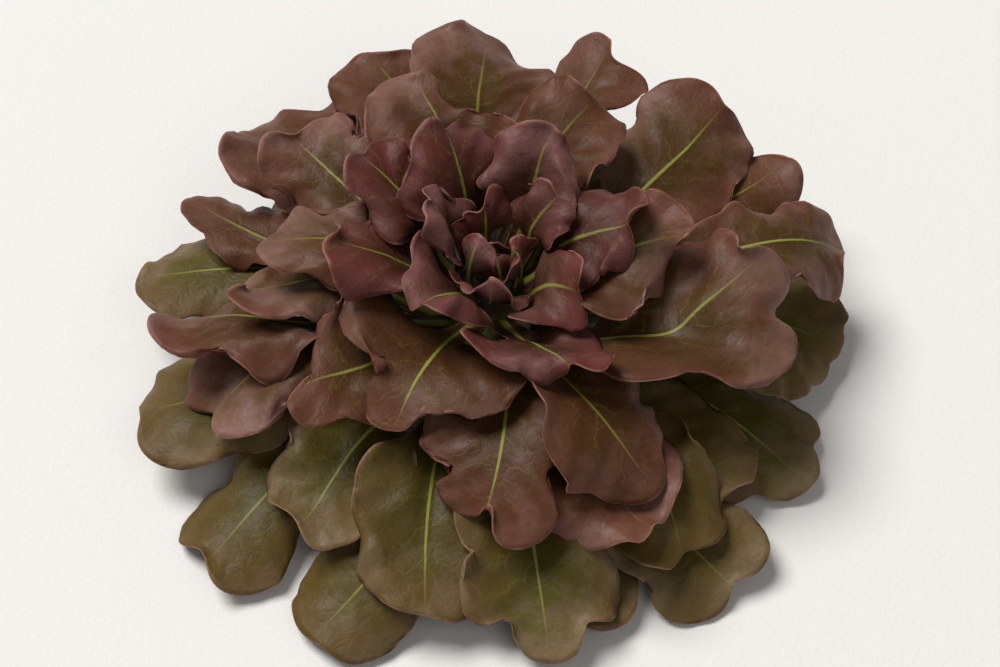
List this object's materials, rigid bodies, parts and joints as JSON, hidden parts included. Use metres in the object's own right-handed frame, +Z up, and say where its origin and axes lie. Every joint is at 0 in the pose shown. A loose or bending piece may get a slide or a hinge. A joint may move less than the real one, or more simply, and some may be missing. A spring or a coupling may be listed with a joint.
{
  "type": "head of lettuce",
  "caption": "Whole head of red oak-leaf lettuce: overlapping lobed leaves round a short core, resting on its flat cut base.",
  "frame": {"origin": "centre of the flat face where the core was cut", "axes": "+Z up the core towards the heart leaves; -Y is the side seen at the front and +X is to its right"},
  "size_m": [0.2622, 0.248, 0.0907],
  "materials": {
    "outer_leaf": "olive-green and brown leaf with a yellow-green rib, thin, softly glossy",
    "middle_leaf": "maroon-brown leaf, green near the rib, thin pink margin, softly glossy",
    "heart_leaf": "red-purple young leaf with a thin pink margin, softly glossy",
    "core": "pale green-white stem flesh, moist and matt"
  },
  "bodies": {
    "root": {"core": "core", "outer_leaf_01": "outer_leaf", "outer_leaf_02": "outer_leaf", "outer_leaf_03": "outer_leaf", "outer_leaf_04": "outer_leaf", "outer_leaf_05": "outer_leaf", "outer_leaf_06": "outer_leaf", "outer_leaf_07": "outer_leaf", "outer_leaf_08": "outer_leaf", "outer_leaf_09": "outer_leaf", "outer_leaf_10": "outer_leaf", "outer_leaf_11": "outer_leaf", "outer_leaf_12": "outer_leaf", "outer_leaf_13": "outer_leaf", "outer_leaf_14": "outer_leaf", "outer_leaf_15": "outer_leaf", "outer_leaf_16": "outer_leaf", "outer_leaf_17": "outer_leaf", "middle_leaf_01": "middle_leaf", "middle_leaf_02": "middle_leaf", "middle_leaf_03": "middle_leaf", "middle_leaf_04": "middle_leaf", "middle_leaf_05": "middle_leaf", "middle_leaf_06": "middle_leaf", "middle_leaf_07": "middle_leaf", "middle_leaf_08": "middle_leaf", "middle_leaf_09": "middle_leaf", "middle_leaf_10": "middle_leaf", "middle_leaf_11": "middle_leaf", "middle_leaf_12": "middle_leaf", "middle_leaf_13": "middle_leaf", "middle_leaf_14": "middle_leaf", "middle_leaf_15": "middle_leaf", "middle_leaf_16": "middle_leaf", "middle_leaf_17": "middle_leaf", "middle_leaf_18": "middle_leaf", "middle_leaf_19": "middle_leaf", "middle_leaf_20": "middle_leaf", "middle_leaf_21": "middle_leaf", "middle_leaf_22": "middle_leaf", "heart_leaf_01": "heart_leaf", "heart_leaf_02": "heart_leaf", "heart_leaf_03": "heart_leaf", "heart_leaf_04": "heart_leaf", "heart_leaf_05": "heart_leaf", "heart_leaf_06": "heart_leaf", "heart_leaf_07": "heart_leaf", "heart_leaf_08": "heart_leaf", "heart_leaf_09": "heart_leaf", "heart_leaf_10": "heart_leaf", "heart_leaf_11": "heart_leaf", "heart_leaf_12": "heart_leaf", "heart_leaf_13": "heart_leaf", "bud_leaf_01": "heart_leaf", "bud_leaf_02": "heart_leaf", "bud_leaf_03": "heart_leaf"}
  },
  "joints": []
}
